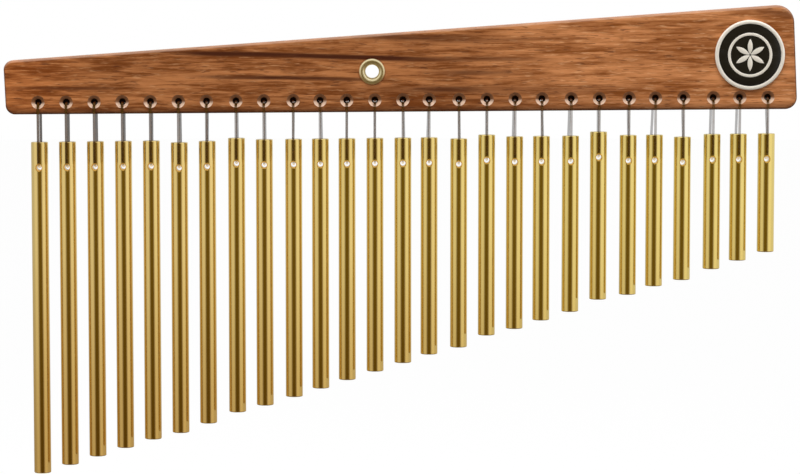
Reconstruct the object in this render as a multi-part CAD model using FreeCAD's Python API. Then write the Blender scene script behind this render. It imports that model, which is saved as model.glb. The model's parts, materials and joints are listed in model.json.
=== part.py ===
"""Bar chimes: round metal bars of falling length, hung side by side on cord loops from a tapered board.

Millimetres, +Z up, +X towards the board's tall end; the front of the board faces -Y. The origin is on the
axis of the stand eyelet, the hole that holds the chimes up, in the middle of the board's thickness.
"""
import FreeCAD, Part
import math
import os

from FreeCAD import Vector

# ---- bars ------------------------------------------------------------------------------------------
BAR_COUNT = 27
BAR_DIAMETER = 10.0
LONGEST_BAR = 197.0
SHORTEST_BAR = 70.0
BAR_CHAMFER = 0.5
BAR_HOLE_DIAMETER = 3.2  # drilled across the bar, front to back
BAR_HOLE_DROP = 15.0  # from the bar's top to the middle of that hole
BAR_HOLE_CHAMFER = 0.8

# ---- board -----------------------------------------------------------------------------------------
HOLE_PITCH = 16.5  # from one cord hole to the next
LOW_END_MARGIN = 19.0  # from the first cord hole to the low end, along the lower edge
TALL_END_MARGIN = 17.5  # from the last cord hole to the tall end, along the lower edge
LOW_END_HEIGHT = 31.5
TALL_END_HEIGHT = 61.8
BOARD_THICKNESS = 12.0
END_LEAN = 2.2  # degrees that both sawn ends lean
LOW_CORNER_RADIUS = 5.5
TALL_TOP_RADIUS = 10.0
TALL_BOTTOM_RADIUS = 7.0
BOARD_EDGE_CHAMFER = 1.3
HANG_TILT = 0.4  # degrees that the low end, with the heavy bars, hangs down on the stand
CORD_HOLE_DIAMETER = 4.0
CORD_HOLE_CHAMFER = 1.9  # countersunk on both faces
CORD_HOLE_HEIGHT = 7.1  # above the board's lower edge

# Cord holes drilled off their even pitch, by the number of the bar from the long end.
DRILL_WANDER = {8: 0.8, 9: 0.7, 10: 1.5, 11: 0.8, 15: -1.0, 19: -0.7, 22: 1.0, 25: 1.0}

# ---- cord loops ------------------------------------------------------------------------------------
CORD_DIAMETER = 1.6
CORD_CLEARANCE = 0.3
LONG_END_DROP = 23.6  # from the middle of a cord hole to the top of the longest bar
SHORT_END_DROP = 21.5  # the same at the shortest bar
KNOT_DIAMETER = 4.8  # a double knot is three cords thick
KNOT_LENGTH = 5.6
KNOT_BELOW_BAR_TOP = 3.0  # each loop is tied behind the top of its bar
KNOT_SHOULDER = 1.2  # length over which the knot tapers down at either end

# Loops tied longer or shorter than their neighbours, by the number of the bar.
TIED_LONGER = {6: 1.2, 7: 0.6, 8: -1.0, 16: 0.9, 17: -1.2, 21: -2.2, 24: 1.4}

# What repeats 27 times is faceted: the sides of the drilled holes and of a cord, and the corners of a bend.
CORD_HOLE_SIDES = 10
BAR_HOLE_SIDES = 8
CORD_SIDES = 6
BEND_CORNERS = 2

# ---- stand eyelet ----------------------------------------------------------------------------------
EYELET_FROM_FIRST_HOLE = 196.5
EYELET_HEIGHT = 23.8  # above the board's lower edge
EYELET_BORE = 8.0
EYELET_WALL = 0.7
EYELET_FIT = 0.1  # gap all round between the eyelet's barrel and the board
FLANGE_DIAMETER = 15.4
FLANGE_HEIGHT = 1.3
MOUTH_ROLL = 0.5  # that the barrel's wall goes on past the board, inside the flange and the roll
ROLL_DIAMETER = 13.0  # of the barrel's far end, rolled over the board's back
ROLL_HEIGHT = 0.9

# ---- badge -----------------------------------------------------------------------------------------
BADGE_DIAMETER = 41.0
BADGE_FROM_LAST_HOLE = 10.7
BADGE_HEIGHT = 32.0  # above the board's lower edge
BADGE_THICKNESS = 1.0
BADGE_RIM_WIDTH = 3.0
BADGE_RIM_HEIGHT = 0.8  # of the rim over the badge's plate
BADGE_FACE_THICKNESS = 0.5  # of the enamel inside the rim

CUT_BEYOND = 1.0  # that every cutter reaches past the surface it cuts
FACE_Y = BOARD_THICKNESS / 2
BAR_RADIUS = BAR_DIAMETER / 2
CORD_RADIUS = CORD_DIAMETER / 2
CORD_OFF_FACE = CORD_RADIUS + CORD_CLEARANCE  # from a surface to the middle of the cord that lies on it
IN_KNOT = 0.0  # bend radius of the corner that lies inside the knot

LOWER_EDGE_Z = -EYELET_HEIGHT
HOLE_ROW_Z = LOWER_EDGE_Z + CORD_HOLE_HEIGHT
FIRST_HOLE_X = -EYELET_FROM_FIRST_HOLE
LAST_HOLE_X = FIRST_HOLE_X + HOLE_PITCH * (BAR_COUNT - 1)


def save(name, shape):
    solids = len(shape.Solids)
    print(f"{name}: {solids} solid, {shape.Volume:.1f} mm3, valid {shape.isValid()}")
    shape.exportStep(f"parts/{name}.step")


def as_hung(x, z):
    """A point of the level board, where it is once the board tilts on the stand."""
    tilt = math.radians(HANG_TILT)
    return x * math.cos(tilt) - z * math.sin(tilt), x * math.sin(tilt) + z * math.cos(tilt)


def share_along_row(number):
    return (number - 1) / (BAR_COUNT - 1)


def hole_centre(number):
    """The middle of a cord hole on the level board, as x and z."""
    return FIRST_HOLE_X + HOLE_PITCH * (number - 1) + DRILL_WANDER.get(number, 0.0), HOLE_ROW_Z


def bar_length(number):
    return LONGEST_BAR + (SHORTEST_BAR - LONGEST_BAR) * share_along_row(number)


def bar_drop(number):
    """From a cord hole's middle to the top of the bar that hangs below it."""
    even = LONG_END_DROP + (SHORT_END_DROP - LONG_END_DROP) * share_along_row(number)
    return even + TIED_LONGER.get(number, 0.0)


# ---- shared shapes ---------------------------------------------------------------------------------
def rounded_corner(before, corner, after, radius):
    """The start, middle and end of the tangent arc that rounds a corner."""
    back = (before - corner).normalize()
    ahead = (after - corner).normalize()
    half = back.getAngle(ahead) / 2
    inward = (back + ahead).normalize()
    along = radius / math.tan(half)
    return corner + back * along, corner + inward * (radius / math.sin(half) - radius), corner + ahead * along


def rounded_outline(corners, radii):
    """A face whose straight sides are joined by tangent arcs."""
    count = len(corners)
    arcs = [rounded_corner(corners[i - 1], corners[i], corners[(i + 1) % count], radii[i]) for i in range(count)]
    edges = []
    for i in range(count):
        edges.append(Part.LineSegment(arcs[i - 1][2], arcs[i][0]).toShape())
        edges.append(Part.Arc(*arcs[i]).toShape())
    return Part.Face(Part.Wire(edges))


def faceted(rings):
    """A solid with flat sides, through rings that all have the same number of corners."""
    faces = [Part.Face(Part.makePolygon(ring + ring[:1])) for ring in (rings[0], rings[-1])]
    for one, other in zip(rings, rings[1:]):
        for i in range(len(one)):
            corners = [one[i - 1], one[i], other[i], other[i - 1]]
            faces.append(Part.Face(Part.makePolygon(corners + corners[:1])))
    solid = Part.makeSolid(Part.makeShell(faces))
    if solid.Volume < 0:
        solid.reverse()
    return solid


def turned(edges):
    """A solid turned about the Y axis from a closed profile of lines and arcs in the XY plane."""
    return Part.Face(Part.Wire([edge.toShape() for edge in edges])).revolve(Vector(), Vector(0, 1, 0), 360)


# ---- board -----------------------------------------------------------------------------------------
def board_outline():
    """The board's front outline, as a face in the middle of its thickness."""
    low_x = FIRST_HOLE_X - LOW_END_MARGIN
    tall_x = LAST_HOLE_X + TALL_END_MARGIN
    lean = math.tan(math.radians(END_LEAN))
    rise = (TALL_END_HEIGHT - LOW_END_HEIGHT) / (tall_x - low_x)

    def end_top(x, height):
        up = height / (1 + lean * rise)
        return Vector(x - lean * up, 0, LOWER_EDGE_Z + up)

    corners = [
        Vector(low_x, 0, LOWER_EDGE_Z),
        Vector(tall_x, 0, LOWER_EDGE_Z),
        end_top(tall_x, TALL_END_HEIGHT),
        end_top(low_x, LOW_END_HEIGHT),
    ]
    radii = [LOW_CORNER_RADIUS, TALL_BOTTOM_RADIUS, TALL_TOP_RADIUS, LOW_CORNER_RADIUS]
    return rounded_outline(corners, radii)


def drill(x, z, diameter, length, chamfer, sides):
    """What a drill and a countersink take out, front to back, round a hole of this length."""
    radius, half = diameter / 2, length / 2
    wide = radius + chamfer + CUT_BEYOND
    stops = [
        (-half - CUT_BEYOND, wide),
        (chamfer - half, radius),
        (half - chamfer, radius),
        (half + CUT_BEYOND, wide),
    ]
    turns = [math.pi * (0.5 + (2 * side + 1) / sides) for side in range(sides)]
    rings = []
    for y, flat in stops:
        reach = flat / math.cos(math.pi / sides)
        rings.append([Vector(x + reach * math.cos(turn), y, z + reach * math.sin(turn)) for turn in turns])
    return faceted(rings)


def make_board():
    board = board_outline().extrude(Vector(0, BOARD_THICKNESS, 0))
    board.translate(Vector(0, -FACE_Y, 0))
    rims = [edge for edge in board.Edges if abs(edge.CenterOfMass.y) > FACE_Y / 2]
    board = board.makeChamfer(BOARD_EDGE_CHAMFER, rims)
    cutters = [
        drill(*hole_centre(number), CORD_HOLE_DIAMETER, BOARD_THICKNESS, CORD_HOLE_CHAMFER, CORD_HOLE_SIDES)
        for number in range(1, BAR_COUNT + 1)
    ]
    barrel_hole = EYELET_BORE / 2 + EYELET_WALL + EYELET_FIT
    reach = FACE_Y + CUT_BEYOND
    cutters.append(Part.makeCylinder(barrel_hole, 2 * reach, Vector(0, -reach, 0), Vector(0, 1, 0)))
    board = board.cut(cutters)
    board.rotate(Vector(), Vector(0, -1, 0), HANG_TILT)
    return board


# ---- stand eyelet ----------------------------------------------------------------------------------
def make_eyelet():
    """A flanged barrel through the board, whose far end is rolled over the board's back."""
    bore = EYELET_BORE / 2
    outside = bore + EYELET_WALL
    flange, roll, front, back = FLANGE_DIAMETER / 2, ROLL_DIAMETER / 2, -FACE_Y, FACE_Y
    crown = (outside + flange) / 2
    profile = [
        Vector(outside, front, 0),
        Vector(flange, front, 0),
        Vector(crown, front - FLANGE_HEIGHT, 0),
        Vector(bore, front - MOUTH_ROLL, 0),
        Vector(bore, back + MOUTH_ROLL, 0),
        Vector((outside + roll) / 2, back + ROLL_HEIGHT, 0),
        Vector(roll, back, 0),
        Vector(outside, back, 0),
    ]
    return turned([Part.LineSegment(one, other) for one, other in zip(profile, profile[1:] + profile[:1])])


# ---- badge -----------------------------------------------------------------------------------------
def place_badge(shape):
    """Moves a badge piece, turned about the Y axis with its back at y = 0, to its place on the board."""
    x, z = as_hung(LAST_HOLE_X - BADGE_FROM_LAST_HOLE, LOWER_EDGE_Z + BADGE_HEIGHT)
    shape.translate(Vector(x, -FACE_Y, z))
    return shape


def make_badge_plate():
    """A round plate with a raised rim, bevelled inwards and outwards from its crown."""
    edge, plate = BADGE_DIAMETER / 2, -BADGE_THICKNESS
    inner, crown = edge - BADGE_RIM_WIDTH, edge - BADGE_RIM_WIDTH / 2
    profile = [
        Vector(0, 0, 0),
        Vector(edge, 0, 0),
        Vector(edge, plate, 0),
        Vector(crown, plate - BADGE_RIM_HEIGHT, 0),
        Vector(inner, plate, 0),
        Vector(0, plate, 0),
    ]
    edges = [Part.LineSegment(one, other) for one, other in zip(profile, profile[1:] + profile[:1])]
    return place_badge(turned(edges))


def make_badge_face():
    """The enamel disc inside the rim."""
    radius = BADGE_DIAMETER / 2 - BADGE_RIM_WIDTH
    front = Vector(0, -BADGE_THICKNESS - BADGE_FACE_THICKNESS, 0)
    return place_badge(Part.makeCylinder(radius, BADGE_FACE_THICKNESS, front, Vector(0, 1, 0)))


# ---- bars ------------------------------------------------------------------------------------------
def bar_top(number):
    """The middle of the top of a bar, as it hangs."""
    x, z = as_hung(*hole_centre(number))
    return Vector(x, 0, z - bar_drop(number))


def make_bar(number):
    top, length = bar_top(number), bar_length(number)
    bar = Part.makeCylinder(BAR_RADIUS, length, top - Vector(0, 0, length))
    hole_z = top.z - BAR_HOLE_DROP
    return bar.cut(drill(top.x, hole_z, BAR_HOLE_DIAMETER, BAR_DIAMETER, BAR_HOLE_CHAMFER, BAR_HOLE_SIDES))


# ---- cord loops ------------------------------------------------------------------------------------
def lip_radius(chamfer):
    """The largest bend with which a cord keeps off a hole's wall, its countersink and the face outside."""
    return CORD_OFF_FACE + chamfer / (2 - math.sqrt(2))


def knot_middle(number):
    y = BAR_RADIUS + CORD_CLEARANCE + KNOT_DIAMETER / 2
    return bar_top(number) + Vector(0, y, -KNOT_BELOW_BAR_TOP - KNOT_LENGTH / 2)


def cord_route(number):
    """A loop's corners and bend radii: from the knot through the bar, up the front, and back over the wood."""
    x, hole_z = as_hung(*hole_centre(number))
    wood_z = hole_z - CORD_HOLE_DIAMETER / 2 + CORD_OFF_FACE
    bar_z = bar_top(number).z - BAR_HOLE_DROP + BAR_HOLE_DIAMETER / 2 - CORD_OFF_FACE
    wood_y = FACE_Y + CORD_OFF_FACE
    bar_y = BAR_RADIUS + CORD_OFF_FACE
    at_wood, at_bar = lip_radius(CORD_HOLE_CHAMFER), lip_radius(BAR_HOLE_CHAMFER)
    corners = [
        knot_middle(number),
        Vector(x, bar_y, bar_z),
        Vector(x, -bar_y, bar_z),
        Vector(x, -wood_y, wood_z),
        Vector(x, wood_y, wood_z),
        knot_middle(number),
    ]
    return corners, [IN_KNOT, at_bar, at_bar, at_wood, at_wood, IN_KNOT]


def around(centre, heading, across, radius):
    """The corners of a regular polygon across a line, with the area of its round section."""
    reach = radius * math.sqrt(2 * math.pi / (CORD_SIDES * math.sin(2 * math.pi / CORD_SIDES)))
    side = heading.cross(across)
    turns = [2 * math.pi * k / CORD_SIDES for k in range(CORD_SIDES)]
    return [centre + across * (reach * math.cos(turn)) + side * (reach * math.sin(turn)) for turn in turns]


def bend_points(before, corner, after, radius):
    """The corners of a line that touches a bend's arc at its ends and between every two of them."""
    start, middle, end = rounded_corner(before, corner, after, radius)
    sweep = math.pi - (before - corner).getAngle(after - corner)
    centre = middle + (middle - corner).normalize() * radius
    spoke = (start - centre).normalize()
    ahead = (corner - before).normalize()
    reach = radius / math.cos(sweep / (2 * BEND_CORNERS))
    turns = [sweep * (2 * k + 1) / (2 * BEND_CORNERS) for k in range(BEND_CORNERS)]
    return [centre + (spoke * math.cos(turn) + ahead * math.sin(turn)) * reach for turn in turns]


def mitred(points, across, radius):
    """A faceted tube along a line of points, mitred at each of them."""
    headings = [(other - one).normalize() for one, other in zip(points, points[1:])]
    rings = [around(points[0], headings[0], across, radius)]
    for i in range(1, len(points)):
        into = headings[i - 1]
        out = headings[min(i, len(headings) - 1)]
        plane = into + out
        ring = around(points[i], into, across, radius)
        rings.append([p - into * ((p - points[i]).dot(plane) / into.dot(plane)) for p in ring])
    return faceted(rings)


def make_knot(number):
    """The double knot, a barrel behind the bar's top end."""
    down, across = Vector(0, 0, -1), Vector(1, 0, 0)
    half, wide, narrow = KNOT_LENGTH / 2, KNOT_DIAMETER / 2, KNOT_DIAMETER / 3
    rings = [(-half, narrow), (KNOT_SHOULDER - half, wide), (half - KNOT_SHOULDER, wide), (half, narrow)]
    middle = knot_middle(number)
    return faceted([around(middle + down * drop, down, across, size) for drop, size in rings])


def make_cord(number):
    corners, radii = cord_route(number)
    points = corners[:1]
    length = 0.0
    last = corners[0]
    for i in range(1, len(corners) - 1):
        points += bend_points(corners[i - 1], corners[i], corners[i + 1], radii[i])
        start, middle, end = rounded_corner(corners[i - 1], corners[i], corners[i + 1], radii[i])
        length += (start - last).Length + Part.Arc(start, middle, end).length()
        last = end
    points += corners[-1:]
    length += (corners[-1] - last).Length
    line = mitred(points, Vector(1, 0, 0), CORD_RADIUS)
    ratio = line.Volume / (math.pi * CORD_RADIUS**2 * length)
    bends = sorted({round(radius, 2) for radius in radii[1:-1]})
    print(f"cord_{number:02d}: bends {bends} mm, {length:.1f} mm long, volume / (section x length) {ratio:.3f}")
    return line.fuse(make_knot(number))


os.makedirs("parts", exist_ok=True)
save("wood_board", make_board())
save("stand_eyelet", make_eyelet())
save("badge_plate", make_badge_plate())
save("badge_face", make_badge_face())
for number in range(1, BAR_COUNT + 1):
    save(f"bar_{number:02d}", make_bar(number))
    save(f"cord_{number:02d}", make_cord(number))
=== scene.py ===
import json
import math

import bmesh
import bpy
from bpy.props import FloatProperty, FloatVectorProperty, IntProperty, PointerProperty
from mathutils import Matrix, Vector


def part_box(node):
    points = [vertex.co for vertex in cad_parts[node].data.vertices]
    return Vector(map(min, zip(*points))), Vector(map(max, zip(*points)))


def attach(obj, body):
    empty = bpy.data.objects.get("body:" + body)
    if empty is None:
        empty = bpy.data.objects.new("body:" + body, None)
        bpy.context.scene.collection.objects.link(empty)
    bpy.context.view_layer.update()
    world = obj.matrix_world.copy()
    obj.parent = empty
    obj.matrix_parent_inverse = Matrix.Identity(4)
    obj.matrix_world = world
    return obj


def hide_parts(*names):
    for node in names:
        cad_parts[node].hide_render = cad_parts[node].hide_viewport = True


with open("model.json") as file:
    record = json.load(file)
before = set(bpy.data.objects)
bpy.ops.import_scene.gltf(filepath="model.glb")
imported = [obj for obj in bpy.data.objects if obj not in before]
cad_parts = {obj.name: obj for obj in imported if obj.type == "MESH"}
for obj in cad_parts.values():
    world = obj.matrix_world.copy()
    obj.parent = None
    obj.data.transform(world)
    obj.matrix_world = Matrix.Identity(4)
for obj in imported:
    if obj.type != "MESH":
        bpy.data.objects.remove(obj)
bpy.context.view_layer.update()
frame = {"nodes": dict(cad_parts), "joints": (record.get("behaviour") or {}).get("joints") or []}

bl_info = {
    "name": "Bar Chimes",
    "version": (1, 0, 0),
    "blender": (4, 5, 0),
    "location": "View3D > Sidebar > Chimes",
    "description": "Gold bars on knotted cord loops under a tapered hardwood board",
    "category": "Add Mesh",
}

MM = 0.001
BAR_COUNT = sum(name.startswith("bar_") for name in frame["nodes"])
BAR_NUMBERS = range(1, BAR_COUNT + 1)
PIVOTS = {joint["name"]: Vector(joint["pos_m"]) for joint in frame["joints"]}
FRONT_Y, BACK_Y = (corner.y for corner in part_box("wood_board"))
TOUCHING = 1e-7  # points nearer to each other than this, in metres, are one
LEVEL = 1e-6  # an edge whose ends differ less than this, in metres, is level
WHITE = (1.0, 1.0, 1.0, 1.0)


def length(name, description, default_mm):
    """A length that the user can change, given in millimetres."""
    default = default_mm * MM
    return FloatProperty(name=name, description=description, default=default, unit="LENGTH", precision=5)


def angle(name, description, default_degrees):
    """An angle that the user can change, given in degrees."""
    default = math.radians(default_degrees)
    return FloatProperty(name=name, description=description, default=default, unit="ROTATION")


def share(name, description, default):
    """A part of a whole that the user can change, from 0 to 1."""
    return FloatProperty(name=name, description=description, default=default, min=0, max=1, subtype="FACTOR")


def colour(name, description, default):
    """A colour that the user can change."""
    return FloatVectorProperty(
        name=name, description=description, default=default, size=3, min=0, max=1, subtype="COLOR"
    )


# ---- settings --------------------------------------------------------
class BoardSettings(bpy.types.PropertyGroup):
    """The tapered hardwood board"""

    low_end: length("Low end", "Where the board's lower edge starts, from the eyelet's axis", -215.5)
    tall_end: length("Tall end", "Where the board's lower edge ends, from the eyelet's axis", 250.0)
    lower_edge: length("Lower edge", "Height of the lower edge, from the eyelet's axis", -23.8)
    low_height: length("Low end height", "Height of the board at its low end", 31.5)
    tall_height: length("Tall end height", "Height of the board at its tall end", 61.8)
    end_lean: angle("End lean", "Lean of both sawn ends", 2.2)
    hang_tilt: angle("Hang tilt", "Tilt of the whole board on its stand", 0.4)
    low_corner: length("Low corners", "Radius of the two corners at the low end", 5.5)
    tall_bottom_corner: length("Tall lower corner", "Radius of the lower corner at the tall end", 7.0)
    tall_top_corner: length("Tall upper corner", "Radius of the upper corner at the tall end", 10.3)
    edge_radius: length("Edge rounding", "Radius of the sanded edges", 1.8)
    hole_diameter: length("Cord hole", "Diameter of the holes for the cords", 4.0)
    hole_over_cord: length("Hole over cord", "From the cord's middle in a hole up to the hole's middle", 0.9)
    countersink: length("Countersink", "Depth of the countersinks of the cord holes", 1.9)
    bore: length("Bore", "Diameter of the fine bore that joins the front and the back of a cord hole", 1.8)
    web: length("Web", "Thickness of the wood left round that bore", 1.0)
    barrel_hole: length("Eyelet hole", "Diameter of the hole round the eyelet", 9.6)
    dark_wood: colour("Dark grain", "Colour of the wood's dark grain", (0.160, 0.041, 0.006))
    light_wood: colour("Light grain", "Colour of the wood's light grain", (0.45, 0.170, 0.056))
    bare_wood: colour("Cut wood", "Colour of the wood inside the countersinks", (0.80, 0.56, 0.41))


class BarSettings(bpy.types.PropertyGroup):
    """The gold bars"""

    end_chamfer: length("End chamfer", "Chamfer at both ends of a bar", 0.45)
    hole_diameter: length("Cross hole", "Diameter of the hole drilled across a bar", 3.2)
    hole_below_top: length("Hole below top", "From a bar's top to the middle of its hole", 15.0)
    countersink: length("Countersink", "Depth of the countersinks of that hole", 0.8)
    sides: IntProperty(name="Sides", description="Sides round a bar", default=96, min=24, max=256)
    left_gold: colour("Gold, long bars", "Colour of the anodising on the long bars", (0.86, 0.64, 0.24))
    right_gold: colour("Gold, short bars", "Colour of the anodising on the short bars", (0.88, 0.69, 0.23))


class CordSettings(bpy.types.PropertyGroup):
    """The knotted loops of cord"""

    diameter: length("Cord", "Diameter of the cord", 1.6)
    off_wood: length("Off the wood", "From the board's face to the middle of a strand", 1.0)
    off_bar: length("Off the bar", "From a bar's face to the middle of a strand", 1.2)
    lift: length("Lift", "Rise of the cord's corners over the edges that it bends round", 0.2)
    straight: length("Straight", "Length of straight strand kept at every edge", 9.6)
    knot_below_top: length("Knot", "From a bar's top to the top of its knot", 3.0)
    knot_length: length("Knot length", "Length of a knot", 5.6)
    knot_off_bar: length("Knot off the bar", "From a bar's face to the middle of its knot", 2.7)
    splay: length("Splay", "How far at most a knot hangs to one side", 1.6)
    turns: FloatProperty(name="Turns", description="Turns of cord round the strand in a knot", default=2.5)
    tag: length("Tag end", "Length of a cut end at the knot", 2.6)
    tint: colour("Tint", "Colour of the cord", (0.095, 0.042, 0.006))


class EyeletSettings(bpy.types.PropertyGroup):
    """The eyelet for the stand's pin"""

    bore: length("Bore", "Diameter of the eyelet's bore", 8.0)
    wall: length("Wall", "Thickness of the barrel's wall", 0.7)
    flange: length("Flange", "Diameter of the front flange", 15.4)
    flange_height: length("Flange height", "How far the flange stands off the board", 1.3)
    roll: length("Roll", "Diameter of the rolled far end", 13.0)
    roll_height: length("Roll height", "How far the rolled end stands off the board", 0.9)
    softening: length("Softening", "Rounding of the turned edges", 0.12)
    brass: colour("Brass", "Colour of the plated brass", (0.88, 0.76, 0.46))


class BadgeSettings(bpy.types.PropertyGroup):
    """The round badge"""

    rim: length("Rim", "Width of the bright rim", 2.3)
    rosette: length("Rosette", "Diameter of the rosette on the badge's face", 26.0)
    line: length("Line", "Width of the rosette's outer ring", 1.6)
    relief: length("Relief", "How far the rosette stands off the enamel", 0.2)
    root: length("Root", "How deep the rosette goes into the enamel", 0.1)
    softening: length("Softening", "Rounding of the petals' edges", 0.12)
    petals: IntProperty(name="Petals", description="Petals of the rosette", default=6, min=3, max=12)
    enamel: colour("Enamel", "Colour of the badge's face", (0.006, 0.006, 0.007))
    silver: colour("Silver", "Colour of the rim and the rosette", (0.93, 0.87, 0.77))


class StageSettings(bpy.types.PropertyGroup):
    """The camera and the studio"""

    camera_place: FloatVectorProperty(
        name="Camera",
        description="Where the camera stands",
        default=(0.01642, -1.79334, 0.05643),
        size=3,
        unit="LENGTH",
    )
    camera_pitch: angle("Camera pitch", "How far the camera looks down", 4.922)
    lens: FloatProperty(
        name="Lens", description="Focal length on a 36 mm wide sensor", default=136.85, unit="CAMERA"
    )
    floor: length("Floor", "Height of the studio floor", -520.0)
    ambient: share("Ambient", "Brightness of the studio on matt surfaces", 0.30)


# ---- shader nodes ----------------------------------------------------
NOISE_MIDDLE = 0.5
# The Mix node has one set of sockets for each type of data. These are its factor and those for colours.
MIX_FACTOR, MIX_FIRST, MIX_SECOND, MIX_RESULT = 0, 6, 7, 2


class Nodes:
    """A tree of shader nodes in the making."""

    def __init__(self, tree):
        self.tree = tree
        self.tree.nodes.clear()

    def add(self, kind, settings=None, values=None):
        """A node of this kind, with its settings made first and then the values or links of its sockets."""
        node = self.tree.nodes.new(kind)
        for key, value in (settings or {}).items():
            setattr(node, key, value)
        for key, value in (values or {}).items():
            if isinstance(value, Number):
                value = value.socket
            if isinstance(value, bpy.types.NodeSocket):
                self.tree.links.new(value, node.inputs[key])
            else:
                node.inputs[key].default_value = value
        return node

    def maths(self, operation, *values):
        """What a Math node makes of these numbers."""
        node = self.add("ShaderNodeMath", {"operation": operation}, dict(enumerate(values)))
        return Number(self, node.outputs[0])


class Number:
    """A number that varies over a surface. Expressions on it add the Math nodes that work it out."""

    def __init__(self, nodes, socket):
        self.nodes = nodes
        self.socket = socket

    def __add__(self, other):
        return self.nodes.maths("ADD", self, other)

    def __radd__(self, other):
        return self.nodes.maths("ADD", other, self)

    def __sub__(self, other):
        return self.nodes.maths("SUBTRACT", self, other)

    def __rsub__(self, other):
        return self.nodes.maths("SUBTRACT", other, self)

    def __mul__(self, other):
        return self.nodes.maths("MULTIPLY", self, other)

    def __rmul__(self, other):
        return self.nodes.maths("MULTIPLY", other, self)

    def __truediv__(self, other):
        return self.nodes.maths("DIVIDE", self, other)

    def __pow__(self, other):
        return self.nodes.maths("POWER", self, other)

    def __neg__(self):
        return self.nodes.maths("MULTIPLY", self, -1.0)

    def size(self):
        """The number without its sign."""
        return self.nodes.maths("ABSOLUTE", self)

    def swing(self, strength):
        """Noise made to swing to both sides of nothing, this strongly."""
        return (self - NOISE_MIDDLE) * strength

    def step(self, start, end):
        """0 below start, 1 above end and smooth between them."""
        node = self.nodes.add(
            "ShaderNodeMapRange",
            {"interpolation_type": "SMOOTHSTEP"},
            {"Value": self, "From Min": start, "From Max": end, "To Min": 0.0, "To Max": 1.0},
        )
        return Number(self.nodes, node.outputs[0])


class Paint(Nodes):
    """A material in the making, with the place on the object in millimetres as its x, y and z."""

    def __init__(self, name):
        self.material = bpy.data.materials.new(name)
        self.material.use_nodes = True
        super().__init__(self.material.node_tree)
        self.output = self.add("ShaderNodeOutputMaterial")
        self.place = self.add("ShaderNodeTexCoord").outputs["Object"]
        parts = self.add("ShaderNodeSeparateXYZ", {}, {0: self.place})
        self.x, self.y, self.z = (Number(self, socket) / MM for socket in parts.outputs)

    def noise(self, stretch, detail=4.0, roughness=0.55, shift=(0.0, 0.0, 0.0), distortion=0.0):
        """Noise whose spots are about this many millimetres long, deep and high, from about 0.25 to 0.75."""
        scale = tuple(1 / (side * MM) for side in stretch)
        mapped = self.add("ShaderNodeMapping", {}, {"Vector": self.place, "Location": shift, "Scale": scale})
        values = {
            "Vector": mapped.outputs[0],
            "Scale": 1.0,
            "Detail": detail,
            "Roughness": roughness,
            "Distortion": distortion,
        }
        node = self.add("ShaderNodeTexNoise", {"noise_dimensions": "3D"}, values)
        return Number(self, node.outputs[0])

    def mix(self, share_of_second, first, second, blend="MIX"):
        """Two colours mixed, each a colour or a node's socket."""
        first, second = ((*c, 1.0) if isinstance(c, (tuple, Vector)) else c for c in (first, second))
        node = self.add(
            "ShaderNodeMix",
            {"data_type": "RGBA", "blend_type": blend, "clamp_factor": True},
            {MIX_FACTOR: share_of_second, MIX_FIRST: first, MIX_SECOND: second},
        )
        return node.outputs[MIX_RESULT]

    def stain(self, tint, second, mask, strength=1.0, blend="MIX"):
        """The tint with a second colour laid over it, this strongly where the mask is 1."""
        return self.mix(mask * strength, tint, second, blend)

    def bump(self, height, distance_mm, strength):
        """The surface's normal, bent as if it rose and fell by up to this distance."""
        values = {"Height": height, "Distance": distance_mm * MM, "Strength": strength}
        return self.add("ShaderNodeBump", {}, values).outputs[0]

    def finish(self, **sockets):
        """The material, with a Principled shader that has these values or links."""
        values = {name.replace("_", " "): value for name, value in sockets.items()}
        return self.show(self.add("ShaderNodeBsdfPrincipled", {}, values))

    def show(self, shader):
        """The material, with this shader at its output."""
        self.tree.links.new(shader.outputs[0], self.output.inputs["Surface"])
        return self.material


def shade(tint, factor):
    """A darker or lighter shade of a colour."""
    return tuple(factor * part for part in tint)


# ---- materials -------------------------------------------------------
# A pair of numbers below says where a change in a material begins and where it is complete. Places are in
# millimetres from the eyelet's axis.
TALL_PART = (45.0, 125.0)  # along the board: its tall part has a calmer and paler grain
LOW_PART = (-215.0, -150.0)  # along the board: its low end is yellower
DARK_BAND = (1.2, 5.4)  # up from the board's lower edge: painted shade darkens the wood under it
ROUNDED_PART = (5.0, 5.95)  # out from the board's middle plane: its rounded edges
FACING_UP = (0.05, 0.60)  # the upward part of the normal: the top edge gets a painted sheen
STREAK_END = (-25.0, 25.0)  # along a dark streak, from its start or end
INSIDE_CUT = (3.4, 4.4)  # out from the board's middle plane: painted shade deep inside a cord hole
UPPER_CUT = (-1.4, 0.4)  # up from the middle of a cord hole: painted shade over its upper half
CALMER_GRAIN, CALMER_BANDS = 0.2, 0.3  # how much of its contrast the grain loses in the tall part
PORE_LEVELS, FLECK_LEVELS = (0.60, 0.68), (0.54, 0.72)  # of the noise that places them
TALL_TINT = (1.30, 1.38, 1.52)
LOW_TINT = (1.20, 1.08, 0.92)
# Dark brown of the grain's streaks, also used for painted shade.
STREAK_AND_SHADE_BROWN = (0.060, 0.014, 0.004)
PORE_BROWN = (0.075, 0.022, 0.008)
FLECK_TAN = (0.56, 0.29, 0.13)
EDGE_SHADE_BROWN = (0.085, 0.026, 0.008)
SHEEN_TAN = (0.50, 0.33, 0.24)
ABOVE_HOLE = "above_hole"  # an attribute of the board: how far a point lies over the middle of its cord hole
STREAK_WANDER = 0.35  # how much of the grain's wander a streak follows
STREAK_CORE = 0.15  # the share of a streak's width that is fully dark
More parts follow.
